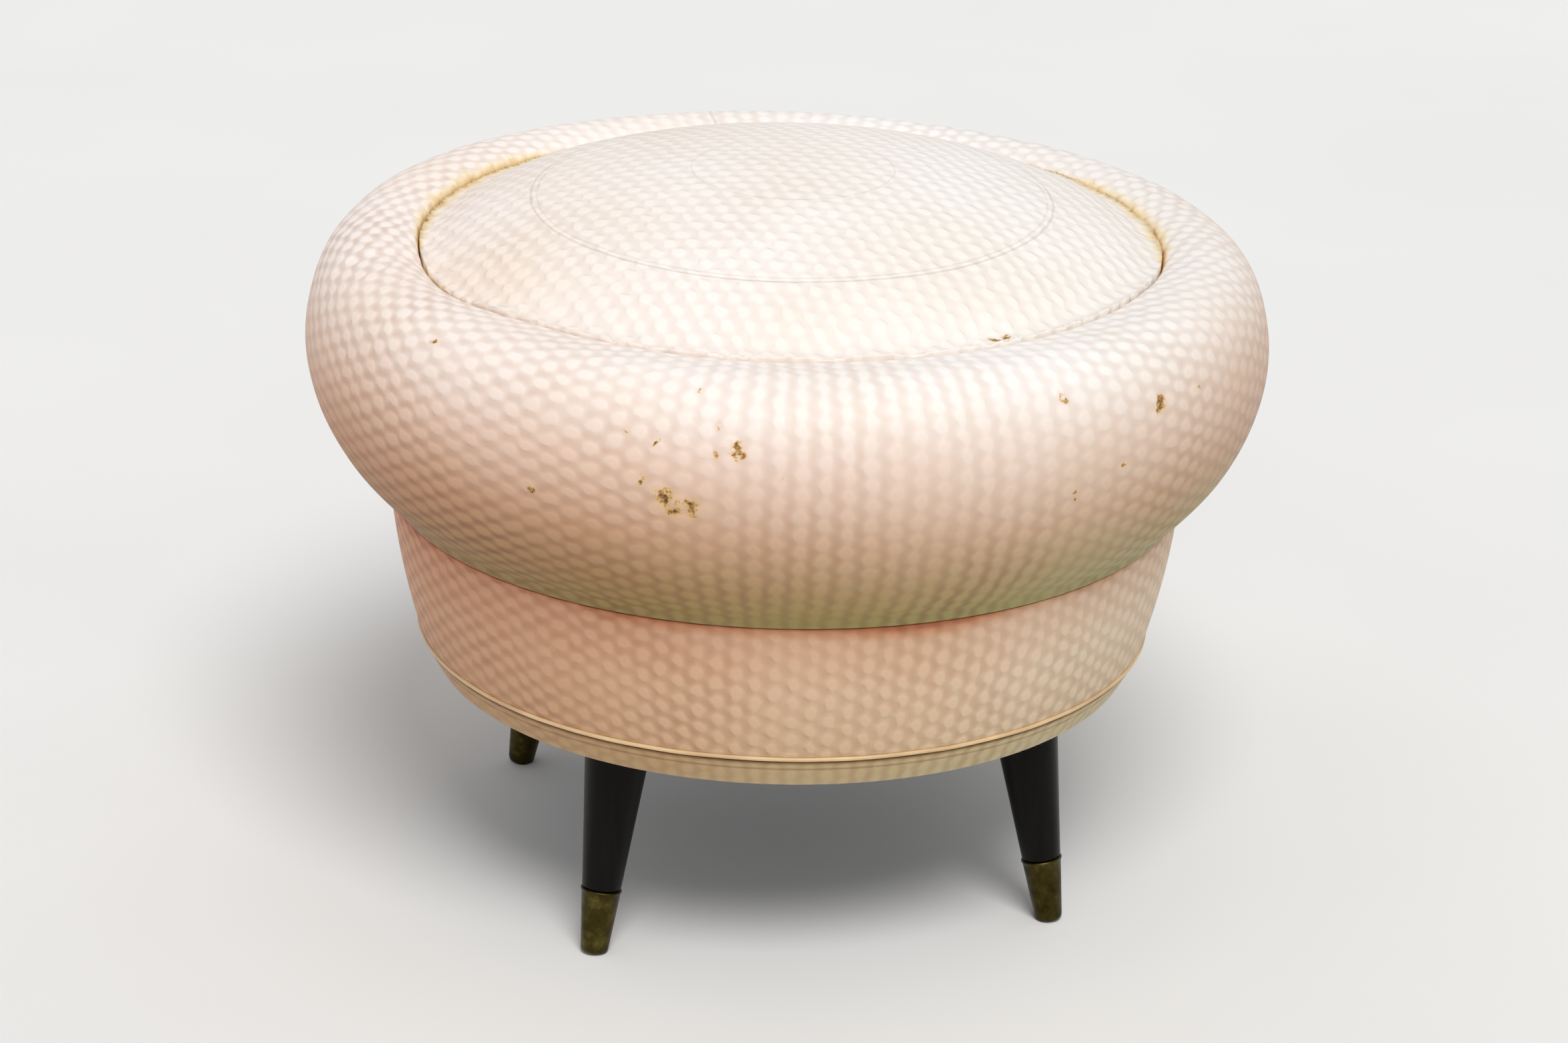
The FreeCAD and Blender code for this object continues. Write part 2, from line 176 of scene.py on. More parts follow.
def rounded(piece):
    # A live subdivision, the same on screen and in a render
    surface = piece.modifiers.new("round", "SUBSURF")
    surface.levels = surface.render_levels = 1


def polar(co):
    # How far a point is from the upright axis and how high, in millimetres, and its heading
    return math.hypot(co.x, co.y) / MM, co.z / MM, math.atan2(co.y, co.x)


def between(turn, other):
    # The angle from one heading to another, by the shorter way round
    return (turn - other + math.pi) % (2 * math.pi) - math.pi


def leathercloth(name, cells_along, lines_across, shades, dirt, fade_and_shade, relief, stain=None,
                 lines=None, pressed_tint=(0.86, 0.84, 0.82, 1.0), marks=(),
                 ways=((0.5, 1.3, 0.6, 1.25), (-0.5, 1.15, 0.45, 0.85), (None, 0.5, 1.55, 0.95))):
    # Calendered vinyl on cotton, pressed with low round pebbles. Each line stands half a step
    # against the next, and the small pits between them hold the dirt. The lattice runs three
    # ways: each has its lean and its strength at the left, in front and at the right.
    material, shader, place = finish(name)
    apart = add(material, "SeparateXYZ", {0: place})
    across, up = apart.outputs["X"], apart.outputs["Z"]
    # The cloth was stretched by hand, so its lines stray a little
    wander = add(material, "TexNoise", {"Vector": place, "Scale": per(41.667), "Detail": 2.0})
    uneven = add(material, "TexNoise", {"Vector": place, "Scale": per(9.0909), "Detail": 1.0})
    loose = add(material, "Math", {0: wander, 1: 0.6, 2: -0.46}, operation="MULTIPLY_ADD")
    slack = add(material, "Math", {0: uneven, 1: 0.32, 2: loose}, operation="MULTIPLY_ADD")
    cell = add(material, "Math", {0: cells_along(material, place), 1: slack}, operation="ADD")
    line = add(material, "Math", {0: lines_across(material, place), 1: slack}, operation="ADD")
    both = 0.0
    for lean, at_left, ahead, at_right in ways:
        slant, late = line, -0.26
        if lean is not None:
            slant = add(material, "Math", {0: line, 1: lean, 2: cell}, operation="MULTIPLY_ADD")
            late = 0.0
        turn = add(material, "Math", {0: slant, 1: 2 * math.pi, 2: late},
                   operation="MULTIPLY_ADD")
        wave = add(material, "Math", {0: turn}, operation="COSINE")
        left = add(material, "MapRange", {"Value": across, "From Min": -170 * MM,
                                          "From Max": -60 * MM, "To Min": at_left,
                                          "To Max": ahead})
        right = add(material, "MapRange", {"Value": across, "From Min": 60 * MM,
                                           "From Max": 160 * MM, "To Max": at_right - ahead})
        deep = add(material, "Math", {0: left, 1: right}, operation="ADD")
        both = add(material, "Math", {0: wave, 1: deep, 2: both}, operation="MULTIPLY_ADD")
    top = add(material, "MapRange", {"Value": both, "From Min": -2.2, "From Max": 1.7},
              interpolation_type="SMOOTHSTEP")
    pebble = add(material, "Math", {0: both, 1: 0.03, 2: top}, operation="MULTIPLY_ADD")
    fine = add(material, "TexNoise", {"Vector": place, "Scale": per(1.42857), "Detail": 3.0})
    height = add(material, "Math", {0: fine, 1: 0.16, 2: pebble}, operation="MULTIPLY_ADD")

    # It is stained pink at the left, with painted shade over it there, deepest low down, and
    # painted shade also darkens the upper right. Age has yellowed it in clouds, and the pits are
    # dirty
    side = add(material, "MapRange", {"Value": across, "From Min": 120 * MM,
                                      "From Max": -240 * MM})
    low = add(material, "MapRange", {"Value": up, "From Min": 325 * MM, "From Max": 235 * MM,
                                     "To Min": 0.1})
    # Painted shade over a pink stain: darker and pinker towards the left, most of all low down
    left_and_low = add(material, "Math", {0: side, 1: low}, operation="MULTIPLY")
    left_low_stain_and_shade = add(material, "Math", {0: left_and_low, 1: left_and_low}, operation="MULTIPLY")
    more_low_down = add(material, "Math", {0: low, 1: 0.7, 2: 0.3}, operation="MULTIPLY_ADD")
    left_stain_and_shade = add(material, "Math", {0: side, 1: more_low_down}, operation="MULTIPLY")
    # Painted shade: darker on the upper right side, less at the crest
    right = add(material, "MapRange", {"Value": across, "From Min": 100 * MM,
                                       "From Max": 250 * MM})
    upper = add(material, "MapRange", {"Value": up, "From Min": 230 * MM,
                                       "From Max": 280 * MM})
    crest = add(material, "MapRange", {"Value": up, "From Min": 350 * MM,
                                       "From Max": 315 * MM, "To Min": 0.25})
    side_on = add(material, "Math", {0: upper, 1: crest}, operation="MULTIPLY")
    right_side_shade = add(material, "Math", {0: right, 1: side_on}, operation="MULTIPLY")
    cloud = add(material, "TexNoise", {"Vector": place, "Scale": per(111.11), "Detail": 5.0})
    aged = add(material, "MapRange", {"Value": cloud, "From Min": 0.4, "From Max": 0.75})
    sunk = add(material, "MapRange", {"Value": both, "From Min": 0.7, "From Max": -2.6})
    held = add(material, "Math", {0: sunk, 1: dirt(material, place)}, operation="MULTIPLY",
               use_clamp=True)
    # The first three tints paint shade at the upper right and at the left, the left one over a
    # pink stain
    tints = [(right_side_shade, (0.83, 0.71, 0.62, 1.0)), (left_stain_and_shade, (1.08, 0.85, 0.76, 1.0)),
             (left_low_stain_and_shade, (0.74, 0.56, 0.42, 1.0)), (aged, (0.96, 0.92, 0.86, 1.0)),
             (held, (0.50, 0.33, 0.22, 1.0))]
    if lines:
        pressed = lines(material, place)
        height = add(material, "Math", {0: pressed, 1: -0.45, 2: height},
                     operation="MULTIPLY_ADD")
        tints.append((pressed, pressed_tint))
    # The tone ramp by height or reach: fading, and on the drum and rim painted shade under the
    # roll
    skin = add(material, "ValToRGB", {"Fac": fade_and_shade(material, place)}, stops=shades)
    for amount, tint in tints:
        skin = add(material, "Mix", {0: amount, 6: skin, 7: tint}, data_type="RGBA",
                   blend_type="MULTIPLY").outputs[2]

    if stain:
        amount = stain(material, place)
        amber = add(material, "ValToRGB", {"Fac": amount},
                    stops=[(0.0, "#FBF2E0"), (0.5, "#F5E2BD"), (0.85, "#E6C690"),
                           (1.0, "#CDA163")])
        taken = add(material, "MapRange", {"Value": amount, "From Max": 0.55})
        skin = add(material, "Mix", {0: taken, 6: skin, 7: amber}, data_type="RGBA").outputs[2]
    if marks:
        # Scuffs: ragged spots where the skin has flaked off, amber at the edge, brown inside
        near = 0.0
        tear = add(material, "TexNoise", {"Vector": place, "Scale": per(6.6667), "Detail": 3.0})
        pulled = add(material, "VectorMath", {0: tear.outputs["Color"], 1: (0.5, 0.5, 0.5)},
                     operation="SUBTRACT")
        ragged = add(material, "VectorMath", {0: pulled, 1: (9 * MM, 9 * MM, 16 * MM), 2: place},
                     operation="MULTIPLY_ADD")
        for x, y, z, size in marks:
            gap = add(material, "VectorMath", {0: ragged, 1: (x * MM, y * MM, z * MM)},
                      operation="DISTANCE")
            close = add(material, "Math", {0: gap.outputs["Value"], 1: -per(size), 2: 1.0},
                        operation="MULTIPLY_ADD")
            near = add(material, "Math", {0: close, 1: near}, operation="MAXIMUM")
        flake = add(material, "TexNoise", {"Vector": place, "Scale": per(2.38095),
                                           "Detail": 4.0, "Roughness": 0.75})
        torn = add(material, "Math", {0: flake, 1: near}, operation="MULTIPLY")
        halo = add(material, "MapRange", {"Value": torn, "From Min": 0.08, "From Max": 0.4,
                                          "To Max": 0.4})
        skin = add(material, "Mix", {0: halo, 6: skin, 7: colour("#D9B27A")},
                   data_type="RGBA").outputs[2]
        scuff = add(material, "MapRange", {"Value": torn, "From Min": 0.27, "From Max": 0.5})
        bared = add(material, "ValToRGB", {"Fac": scuff},
                    stops=[(0.1, "#DDB67C"), (0.5, "#A87A3A"), (1.0, "#5A3C1A")])
        shown = add(material, "MapRange", {"Value": scuff, "From Max": 0.25})
        skin = add(material, "Mix", {0: shown, 6: skin, 7: bared}, data_type="RGBA").outputs[2]
    bump = add(material, "Bump", {"Height": height, "Distance": relief * MM, "Strength": 1.0})
    gloss = add(material, "MapRange", {"Value": cloud, "To Min": 0.42, "To Max": 0.6})
    feed(material, shader, {"Base Color": skin, "Normal": bump, "Roughness": gloss, "IOR": 1.46})
    return material


def round_the_axis(count):
    # Counts lines round the footstool's axis, a whole number of them in one turn
    def counted(material, place):
        apart = add(material, "SeparateXYZ", {0: place})
        angle = add(material, "Math", {0: apart.outputs["Y"], 1: apart.outputs["X"]},
                    operation="ARCTAN2")
        return add(material, "Math", {0: angle, 1: count / (2 * math.pi)}, operation="MULTIPLY")
    return counted


def up_the_cover(step):
    # Counts pebbles along the cover, from its cut edge, in steps of millimetres
    def counted(material, place):
        run = add(material, "Attribute", attribute_name="along")
        return add(material, "Math", {0: run.outputs["Fac"], 1: per(step)}, operation="MULTIPLY")
    return counted


def by_height(low, high):
    # Goes from 0 to 1 between two heights in millimetres, a little uneven; the tone ramps it
    # drives carry fading and painted shade
    def counted(material, place):
        stray = 20 * MM
        apart = add(material, "SeparateXYZ", {0: place})
        uneven = add(material, "TexNoise", {"Vector": place, "Scale": per(142.857), "Detail": 3.0})
        lifted = add(material, "Math", {0: uneven, 1: stray, 2: apart.outputs["Z"]},
                     operation="MULTIPLY_ADD")
        return add(material, "MapRange", {"Value": lifted, "From Min": low * MM + stray / 2,
                                          "From Max": high * MM + stray / 2})
    return counted


def grime(amount):
    # Dirt held in the pits, in patches
    def counted(material, place):
        patch = add(material, "TexNoise", {"Vector": place, "Scale": per(71.4286),
                                           "Detail": 5.0, "Roughness": 0.6})
        return add(material, "MapRange", {"Value": patch, "From Min": 0.35, "From Max": 0.7,
                                          "To Min": amount * 0.4, "To Max": amount})
    return counted


def grime_and_shade_at_the_sides(amount):
    # Dirt in the pits, more towards both sides, least a little right of the front, and up to twice
    # as much under the roll; the extra at the sides and under the roll is partly painted shade
    def counted(material, place):
        cleanest = 50 * MM
        apart = add(material, "SeparateXYZ", {0: place})
        aside = add(material, "Math", {0: apart.outputs["X"], 1: cleanest}, operation="SUBTRACT")
        far = add(material, "Math", {0: aside}, operation="ABSOLUTE")
        side = add(material, "MapRange", {"Value": far, "From Min": 80 * MM,
                                          "From Max": 290 * MM, "To Min": 0.8, "To Max": 1.3})
        under = add(material, "MapRange", {"Value": apart.outputs["Z"], "From Min": 300 * MM,
                                           "From Max": 225 * MM, "To Min": 1.0, "To Max": 2.0})
        more = add(material, "Math", {0: side, 1: under}, operation="MULTIPLY")
        return add(material, "Math", {0: grime(amount)(material, place), 1: more},
                   operation="MULTIPLY")
    return counted


def back_seam(material, place):
    # The strip's two ends meet in one closed seam at the back, a little puckered
    apart = add(material, "SeparateXYZ", {0: place})
    pucker = add(material, "TexNoise", {"Vector": place, "Scale": per(7.6923), "Detail": 2.0})
    strayed = add(material, "Math", {0: pucker, 1: 1.6 * MM, 2: apart.outputs["X"]},
                  operation="MULTIPLY_ADD")
    aside = add(material, "Math", {0: strayed}, operation="ABSOLUTE")
    groove = add(material, "MapRange", {"Value": aside, "From Min": 1.3 * MM,
                                        "From Max": 0.2 * MM, "To Max": 1.6})
    behind = add(material, "Math", {0: apart.outputs["Y"], 1: 0.0}, operation="GREATER_THAN")
    return add(material, "Math", {0: groove, 1: behind}, operation="MULTIPLY")


drum_foot, drum_head, drum_bulge = (195.1, 135.2), (209.7, 210.4), 2.0
foot_fold = [(194.4, 135.0), (195.0, 135.3), (195.2, 136.3)]
head_fold = [(209.3, 210.9), (208.4, 211.0), (206.6, 210.7), (206.4, 209.0)]
inner_face = [(191.6, 136.0), (192.4, 135.2)]
outer_face = []
for i in range(1, 15):
    t = i / 14
    straight = drum_foot[0] + (drum_head[0] - drum_foot[0]) * t
    outer_face.append((straight + drum_bulge * 4 * t * (1 - t) - 0.1,
                       drum_foot[1] + (drum_head[1] - drum_foot[1]) * t))
drum = turned("drum_wall", foot_fold + outer_face + head_fold + inner_face, around=272)
# The wadding is lumpy under the outer face: it has shallow swellings and hollows, each with
# its heading, width and depth
random.seed(11)
pulls = [(random.uniform(0, 2 * math.pi), random.uniform(0.02, 0.07),
          random.uniform(-0.35, 0.35)) for _ in range(46)]
for point in drum.data.vertices:
    reach, rise, turn = polar(point.co)
    up = (rise - drum_foot[1]) / (drum_head[1] - drum_foot[1])
    if reach > 194.0 + 13.5 * up and 0.02 < up < 1.02:
        push = 0.0
        for centre, width, depth in pulls:
            share = math.exp(-(between(turn, centre) / width) ** 2)
            push += depth * share * math.sin(math.pi * min(max(up, 0.0), 1.0))
        point.co += Vector((point.co.x, point.co.y, 0.0)).normalized() * push * MM
rounded(drum)
# Its tone turns orange brown in the top few millimetres, just under the roll's chin: painted
# shadow of the roll
drum_cloth = leathercloth(
    "embossed vinyl leathercloth, drum", up_the_cover(11.3), round_the_axis(136),
    [(0.0, "#D7C1A1"), (0.5, "#E0C9AE"), (0.9, "#E0C0A3"), (0.965, "#D4A07A"), (1.0, "#BC7650")],
    grime_and_shade_at_the_sides(0.42), by_height(135, 212), relief=0.75, lines=back_seam,
    ways=((0.5, 1.3, 1.0, 1.25), (-0.5, 1.15, 0.55, 0.85), (None, 0.5, 1.3, 0.95)))
drum.data.materials.append(drum_cloth)
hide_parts("drum_cover", "drum_wadding")

# The piping round the foot of the drum: a narrow bias of plain vinyl folded round a thin
# cord and sewn into the seam, so it shows as one fine bright line.
cord_rise, cord_reach, cord_half = 134.2, 194.8, 1.15
welt = turned("seam_piping", bend((cord_reach, cord_rise), cord_half, 0, 330, 11), around=288)
for point in welt.data.vertices:
    turn = polar(point.co)[2]
    wave = noise.noise(Vector((math.cos(turn) * 9, math.sin(turn) * 9, 3.7)))
    point.co.z += 0.25 * MM * wave
rounded(welt)
# Plain vinyl over cord: smooth and satin, browned in patches where shoes rub it
piping, shader, place = finish("plain vinyl piping")
stain = add(piping, "TexNoise", {"Vector": place, "Scale": per(25), "Detail": 4.0})
worn = add(piping, "ValToRGB", {"Fac": stain}, stops=[(0.3, "#C9A87C"), (0.65, "#E2C396")])
feed(piping, shader, {"Base Color": worn, "Roughness": 0.42})
welt.data.materials.append(piping)
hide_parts("seam_welt")

# The band under the piping: a strip of the same vinyl that covers the base board's
# slanted edge, drawn in underneath and tacked there.
band_front = [(195.0, 132.9), (194.2, 131.4), (190.2, 124.0), (186.3, 117.0)]
hem = [(185.2, 115.95), (184.0, 115.7), (180.0, 115.75), (175.5, 115.8)]
band_back = [(175.5, 116.9), (184.2, 117.0), (193.4, 132.9)]
band = turned("base_band_strip", band_front + hem + band_back, around=272)
rounded(band)


def height_of(material, place):
    # How high a place is, in metres
    return add(material, "SeparateXYZ", {0: place}).outputs["Z"]


def by_the_hem(material, place):
    # Goes from 0 at the band's lower fold to 1 at the seam
    return add(material, "MapRange", {"Value": height_of(material, place),
                                      "From Min": 115.8 * MM, "From Max": 133.0 * MM})


def pressed_lines(measured, lines, shape):
    # Shallow lines in the cloth, where what is measured comes near each line's middle. A line
    # also has half its width, and its depth
    def counted(material, place):
        at, pressed = measured(material, place), 0.0
        for middle, half, depth in lines:
            off = add(material, "Math", {0: at, 1: middle * MM}, operation="SUBTRACT")
            aside = add(material, "Math", {0: off}, operation="ABSOLUTE")
            groove = add(material, "MapRange", {"Value": aside, "From Min": half * MM,
                                                "From Max": 0.0, "To Max": depth},
                         interpolation_type=shape)
            pressed = add(material, "Math", {0: groove, 1: pressed}, operation="ADD")
        return pressed
    return counted


# The same leathercloth, gone greenish beige with floor dust, and darker towards the seam as
# painted shade under the piping. Two lines run along it, where it was folded over before it was
# sewn, pressed
# in and darkened: the upper one, just under the piping, as painted shadow of the piping
fold_and_shadow_lines = [(132.3, 1.5, 1.0), (127.6, 1.1, 0.75)]
band_cloth = leathercloth(
    "embossed vinyl leathercloth, band", up_the_cover(11.3), round_the_axis(136),
    [(0.0, "#C9BD98"), (0.25, "#C4B58C"), (0.8, "#C9B88F"), (1.0, "#9C8250")],
    grime(0.6), by_the_hem, relief=0.5, lines=pressed_lines(height_of, fold_and_shadow_lines, "LINEAR"),
    pressed_tint=(0.55, 0.44, 0.28, 1.0))
band.data.materials.append(band_cloth)
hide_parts("base_band")

# The rolled rim: a thick ring of foam on the deck board, under a vinyl cover that is sewn
# to the hessian strip in the crease, pulled over and tacked under the chin.
crease, pleat_foot, sewn_top = 193.8, 316, 338.5
chin = [(206.0, 213.6), (207.0, 211.7), (208.9, 211.1), (210.5, 211.6), (211.3, 213.6)]
belly = bend((152.1, 295.7), 99.4, -53.0, 0, 14) + bend((174.1, 295.7), 77.4, 0, 24, 6)[1:]
top_bend = bend((213.6, 313.2), 34.2, 24, 90, 8)[1:]
drop = [(209.4, 347.0), (205.4, 346.0), (201.8, 344.5), (198.7, 342.7), (196.2, 340.7),
        (194.4, 338.4), (crease, 334.0), (crease, 329.5)]
hidden_side = [(194.1, 324.0), (194.2, 318.0), (194.5, 290.0), (195.0, 250.0), (197.0, 219.0)]
rim = turned("rolled_rim", chin + belly + top_bend + drop + hidden_side, around=480)


def plump(piece, held, cap):
    # Blows the cover up like foam under it, with some points held, and no point moved
    # farther than the cap in millimetres
    frames = 20
    before = [point.co.copy() for point in piece.data.vertices]
    group = piece.vertex_groups.new(name="held")
    group.add([i for i, co in enumerate(before) if held(co)], 1.0, "REPLACE")
    cloth = piece.modifiers.new("foam", "CLOTH")
    cloth.settings.quality = 6
    cloth.settings.mass = 0.3
    cloth.settings.tension_stiffness = cloth.settings.compression_stiffness = 20
    cloth.settings.shear_stiffness = 8
    cloth.settings.bending_stiffness = 3
    cloth.settings.use_pressure = True
    cloth.settings.uniform_pressure_force = 4
    cloth.settings.vertex_group_mass = group.name
    cloth.settings.effector_weights.gravity = 0
    cloth.collision_settings.use_collision = False
    cloth.point_cache.frame_start, cloth.point_cache.frame_end = 1, frames
    for number in range(1, frames + 1):
        bpy.context.scene.frame_set(number)
    blown = piece.evaluated_get(bpy.context.evaluated_depsgraph_get())
    after = [point.co.copy() for point in blown.to_mesh().vertices]
    blown.to_mesh_clear()
    piece.modifiers.remove(cloth)
    bpy.context.scene.frame_set(1)
    for point, old, new in zip(piece.data.vertices, before, after):
        move = new - old
        if move.length > cap * MM:
            move *= cap * MM / move.length
        point.co = old + move


def in_the_crease(co):
    # The parts of the rim's cover that are sewn or tacked
    reach, rise, _ = polar(co)
    return (reach < 196 and rise < sewn_top) or rise < 216


def out_of_the_roll(co):
    # Straight out of the roll, from the ring at its middle
    middle_reach, middle_rise = 200 * MM, 290 * MM
    flat = Vector((co.x, co.y, 0.0)).normalized()
    return (co - (flat * middle_reach + Vector((0.0, 0.0, middle_rise)))).normalized()


plump(rim, in_the_crease, cap=1.2)


def gathers(seed, count, depth, reach):
    # Small pleats at uneven spaces round the crease, each with its own width and length.
    # They are pulled deepest at two headings, at the right and at the back left
    random.seed(seed)
    made, turn = [], 0.0
    for _ in range(count):
        turn += 2 * math.pi / count * random.uniform(0.45, 1.55)
        pulled = 1.0
        for heading, more in ((0.12, 1.3), (2.56, 0.8)):
            pulled += more * math.exp(-((turn - heading) / 0.4) ** 2)
        made.append((turn, random.uniform(1.9, 3.4) / 194.0,
                     depth * random.uniform(0.35, 1.0) ** 1.5 * 1.4 * pulled,
                     reach * random.uniform(0.45, 1.3)))
    return made


def draw_in(piece, pleats, away, side):
    # Sinks the pleats into a cover. away gives a point's distance from the crease. A table
    # by heading keeps each point's search to the pleats near it
    full, width, farthest, deepest = 2 * math.pi, 40, 60, 2.2
    table = [[] for _ in range(width)]
    for pleat in pleats:
        spot = int(pleat[0] % full / full * width)
        for near in (-1, 0, 1):
            table[(spot + near) % width].append(pleat)
    for point in piece.data.vertices:
        far = away(point.co)
        if far is None or far > farthest:
            continue
        turn = math.atan2(point.co.y, point.co.x) % full
        sink = 0.0
        for centre, half, depth, reach in table[int(turn / full * width) % width]:
            spread = half * (1 + 0.5 * far / reach)
            share = math.exp(-(between(turn, centre) / spread) ** 2)
            sink += depth * share * max(0.0, 1 - far / reach) ** 1.3
        flat = Vector((point.co.x, point.co.y, 0.0))
        # A pleat never parts the two covers where they are sewn together
        parted = side * min(1.0, max(0.0, abs(flat.length / MM - crease) - 1.0) / 6)
        pull = flat.normalized() * parted - Vector((0.0, 0.0, 0.6))
        point.co += pull * min(sink, deepest) * MM


def on_the_roll(co):
    # How far a point of the rim's cover is from the seam in the crease, along the cover
    reach, rise, _ = polar(co)
    if rise < pleat_foot:
        return None
    if reach < 213.6:
        if rise < 328.6:
            return rise - pleat_foot
        return 12.6 + 19.6 * (math.pi - math.atan2(rise - 328.6, reach - 213.6))
    return 43 + (reach - 213.6)


def fill_the_crease(piece):
    # The front is stuffed fuller: there the crease is shallow, hardly more than its seam. It
    # is drawn tightest at the left
    lift = 7.5
    for point in piece.data.vertices:
        reach, rise, turn = polar(point.co)
        heading = math.degrees(turn) % 360
        front = min(1.0, max(0.0, (76 - abs(heading - 270)) / 26))
        tight = math.exp(-((heading - 192) / 13) ** 2)
        share = 0.5 + 0.5 * front * front * (3 - 2 * front) - 0.4 * tight
        near = max(0.0, 1 - abs(reach - crease) / 16) ** 2
        near *= min(1.0, max(0.0, (rise - pleat_foot) / 18))
        point.co.z += lift * MM * near * share


draw_in(rim, gathers(5, 96, 1.0, 30), on_the_roll, side=0.7)
fill_the_crease(rim)
for point in rim.data.vertices:
    if not in_the_crease(point.co):
        turn = polar(point.co)[2]
        lump = noise.noise(Vector((math.cos(turn) * 2.6, math.sin(turn) * 2.6,
                                   point.co.z * 14)))
        dent = noise.noise(Vector((math.cos(turn) * 7.5, math.sin(turn) * 7.5,
                                   point.co.z * 30 + 5)))
        flat = Vector((point.co.x, point.co.y, 0.0)).normalized()
        point.co += out_of_the_roll(point.co) * (0.8 * lump + 0.35 * dent) * MM
        # The roll stands higher at the back left and fuller at the left, as it was packed
        high = math.exp(-((turn - 2.35) / 0.75) ** 2)
        high *= max(0.0, min(1.0, (point.co.z / MM - 250) / 90))
        full = math.exp(-(((turn + 0.35) % (2 * math.pi) - math.pi) / 0.6) ** 2)
        full *= max(0.0, 1 - abs(point.co.z / MM - 285) / 70)
        point.co.z += 4.0 * MM * high
        point.co += flat * 2.2 * MM * full
rounded(rim)


def flat_place(material, place):
    # The place without its height
    return add(material, "VectorMath", {0: place, 1: (1.0, 1.0, 0.0)}, operation="MULTIPLY")


def from_the_axis(material, place):
    # How far a place is from the upright axis, in metres
    return add(material, "VectorMath", {0: flat_place(material, place)},
               operation="LENGTH").outputs["Value"]


def in_the_crease_stain(share):
    # Old dirt and yellowing down in the crease, worst at the back left and at the right
    def counted(material, place):
        height = height_of(material, place)
        off = add(material, "Math", {0: from_the_axis(material, place), 1: crease * MM},
                  operation="SUBTRACT")
        aside = add(material, "Math", {0: off}, operation="ABSOLUTE")
        above = add(material, "Math", {0: height, 1: 340 * MM}, operation="SUBTRACT")
        up = add(material, "Math", {0: above, 1: 0.0}, operation="MAXIMUM")
        away = add(material, "Math", {0: up, 1: 0.45, 2: aside}, operation="MULTIPLY_ADD")
        heading = add(material, "VectorMath", {0: flat_place(material, place)},
                      operation="NORMALIZE")
        patch = 0.0
        for degrees in (147, 6):
            toward = (math.cos(math.radians(degrees)), math.sin(math.radians(degrees)), 0.0)
            facing = add(material, "VectorMath", {0: heading, 1: toward},
                         operation="DOT_PRODUCT").outputs["Value"]
            spread = add(material, "MapRange", {"Value": facing, "From Min": 0.845,
                                                "From Max": 0.965})
            patch = add(material, "Math", {0: spread, 1: patch}, operation="MAXIMUM")
        wide = add(material, "MapRange", {"Value": patch, "To Min": 0.4 * share * MM,
                                          "To Max": 13.5 * share * MM})
        # Its edge is streaky, about 6 mm from one streak to the next
        streak = add(material, "TexNoise", {"Vector": heading, "Scale": 34.0, "Detail": 3.0})
        uneven = add(material, "MapRange", {"Value": streak, "From Min": 0.3, "From Max": 0.7,
                                            "To Min": 0.5, "To Max": 1.3})
        edge = add(material, "Math", {0: wide, 1: uneven}, operation="MULTIPLY")
        within = add(material, "Math", {0: away, 1: edge}, operation="DIVIDE")
        taken = add(material, "MapRange", {"Value": within, "From Min": 1.0, "From Max": 0.0})
        on_top = add(material, "Math", {0: height, 1: 290 * MM}, operation="GREATER_THAN")
        return add(material, "Math", {0: taken, 1: on_top}, operation="MULTIPLY")
    return counted


# Each scuff's place and size in millimetres: in front, at the right and left, at the back
scuffs = [(-109, -228, 292, 12), (-104, -229, 286, 11), (-97, -232, 289, 9), (-75, -237, 319, 6),
          (-84, -235, 316, 5), (-82, -230, 330, 5), (-127, -213, 323, 3.6), (-112, -222, 319, 3.6),
          (-119, -222, 301, 5), (-56, -246, 305, 4.5), (-91, -215, 342, 3.5),
          (145, -202, 319, 8), (171, -181, 318, 5), (88, -226, 333, 5.5), (121, -221, 296, 4),
          (95, -233, 284, 4), (68, -240, 270, 4.5), (-167, -188, 286, 5), (-205, -118, 340, 6),
          (60, 236, 300, 8), (190, 150, 330, 5)]
# Its tone darkens from near white at the crest to olive brown at the chin: ageing, with painted
# shade under the roll and a painted green reflection at the chin
rim_cloth = leathercloth(
    "embossed vinyl leathercloth, rim", up_the_cover(10.4), round_the_axis(136),
    [(0.0, "#A0965F"), (0.14, "#B09A69"), (0.38, "#CEAF91"), (0.7, "#EAD6C7"), (1.0, "#FDF9F4")],
    grime_and_shade_at_the_sides(0.55), by_height(222, 345), relief=0.55, stain=in_the_crease_stain(0.9),
    lines=back_seam, marks=scuffs)
rim.data.materials.append(rim_cloth)
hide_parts("rim_cover", "rim_foam")

# The strip in the crease: coarse hessian that both covers are sewn to, tacked to the deck.
# It holds the crease down, and only its dirty top edge can be seen between the covers.
strip_inside = [(193.3, 225.6), (193.4, 300.0), (193.5, 319.6)]
strip_outside = [(194.1, 319.6), (194.1, 300.0), (194.0, 225.6)]
strip = turned("crease_hessian", strip_inside + strip_outside, around=240)
# Jute sackcloth: plain weave, its threads about 2 mm apart, brown with dust
hessian, shader, place = finish("jute hessian")
around = add(hessian, "Math", {0: round_the_axis(600)(hessian, place), 1: 2 * math.pi},
             operation="MULTIPLY")
upright = add(hessian, "Math", {0: height_of(hessian, place), 1: 2 * math.pi * per(2.0)},
              operation="MULTIPLY")
warp = add(hessian, "Math", {0: around}, operation="SINE")
weft = add(hessian, "Math", {0: upright}, operation="SINE")
weave = add(hessian, "Math", {0: warp, 1: weft}, operation="MULTIPLY")
thread = add(hessian, "ValToRGB", {"Fac": weave}, stops=[(0.1, "#5E4426"), (0.6, "#9A7A4C")])
knots = add(hessian, "Bump", {"Height": weave, "Distance": 0.4 * MM})
feed(hessian, shader, {"Base Color": thread, "Normal": knots, "Roughness": 0.95})
strip.data.materials.append(hessian)
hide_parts("crease_strip")

